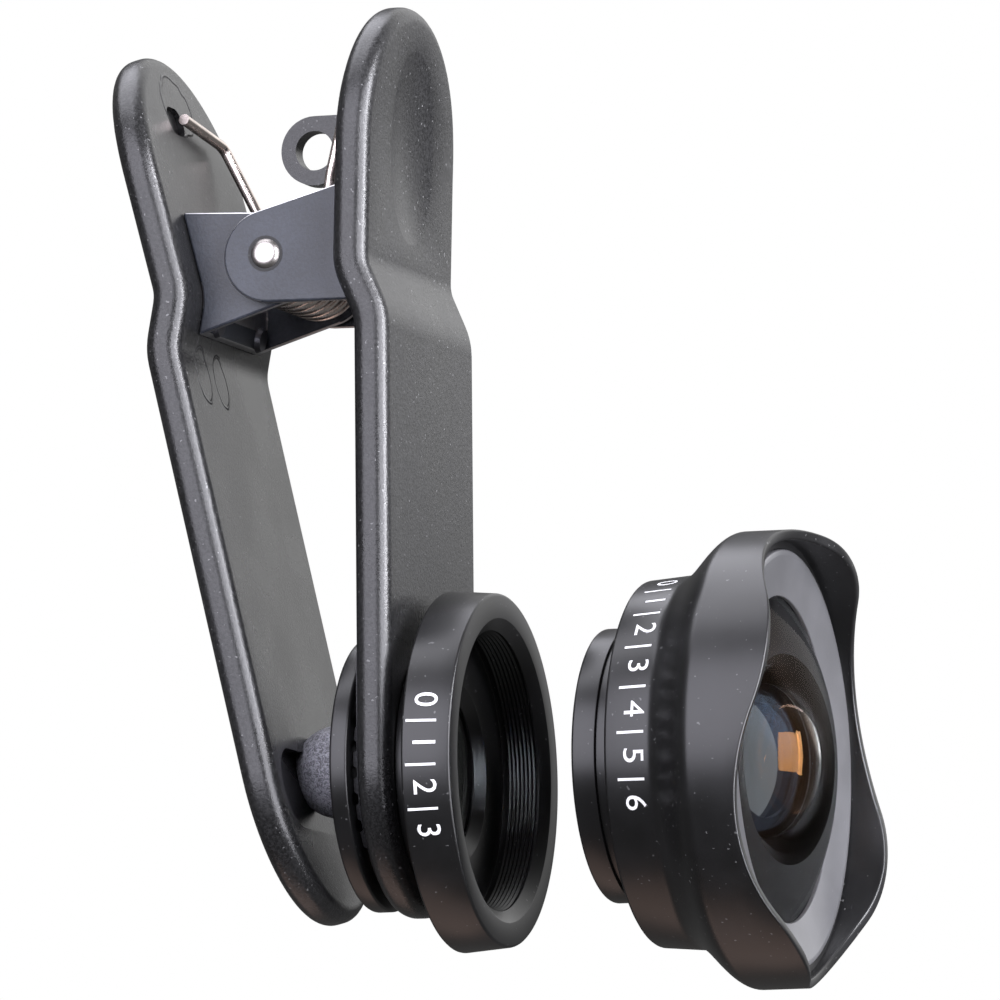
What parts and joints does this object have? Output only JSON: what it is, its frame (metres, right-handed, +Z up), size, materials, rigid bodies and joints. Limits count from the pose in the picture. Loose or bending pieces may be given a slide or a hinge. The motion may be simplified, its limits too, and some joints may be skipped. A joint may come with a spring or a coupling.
{
  "type": "clip-on phone lens",
  "caption": "Sprung clip that holds a macro lens over a phone's camera, with a petal-hooded wide-angle lens that screws into the macro lens.",
  "frame": {"origin": "on the lens axis, in the rear face of the clamp flange that meets the phone", "axes": "+X out along the lens axis, away from the phone; +Z up the arms to their handles; +Y across the arms, away from the picture's camera"},
  "size_m": [0.0711, 0.0446, 0.0982],
  "materials": {
    "arm": "fine-grained satin black",
    "bracket": "satin blue-grey paint on folded sheet",
    "screw": "plain zinc",
    "pin": "polished nickel",
    "spring": "bright drawn wire",
    "liner": "matt, moulded ribs",
    "pad": "matt, leather-like grain",
    "anodised": "satin black anodised",
    "inner_metal": "matt black anodised",
    "lens_glass": "polished, coated"
  },
  "bodies": {
    "lens_side": {"lens_arm": "arm", "outer_bracket": "bracket", "outer_bracket_screws": "screw", "hinge_pin": "pin", "torsion_spring": "spring", "grip_liner": "liner", "clamp_flange": "anodised", "macro_barrel": "anodised", "macro_rear_lens": "lens_glass", "macro_spacer": "inner_metal", "macro_front_lens": "lens_glass", "macro_retainer": "inner_metal"},
    "pad_side": {"pad_arm": "arm", "inner_bracket": "bracket", "inner_bracket_screws": "screw", "rubber_pad": "pad"},
    "wide_side": {"wide_mount": "anodised", "wide_rear_retainer": "inner_metal", "wide_rear_lens": "lens_glass", "wide_barrel": "anodised", "light_stop": "inner_metal", "wide_middle_lens": "lens_glass", "wide_spacer": "inner_metal", "wide_front_lens": "lens_glass", "wide_front_ring": "anodised"}
  },
  "joints": [
    {"name": "clip_hinge", "type": "hinge", "parent": "lens_side", "child": "pad_side", "pos_m": [-0.0071, 0, 0.0507], "axis": [0, 1, 0], "range_deg": [0, 28], "stiffness_Nm_per_rad": 0.3, "springref_deg": -57.3, "deforming": ["torsion_spring"]},
    {"name": "wide_lens_screw", "type": "slide", "parent": "lens_side", "child": "wide_side", "axis": [1, 0, 0], "range_m": [-0.0155, 0]}
  ]
}
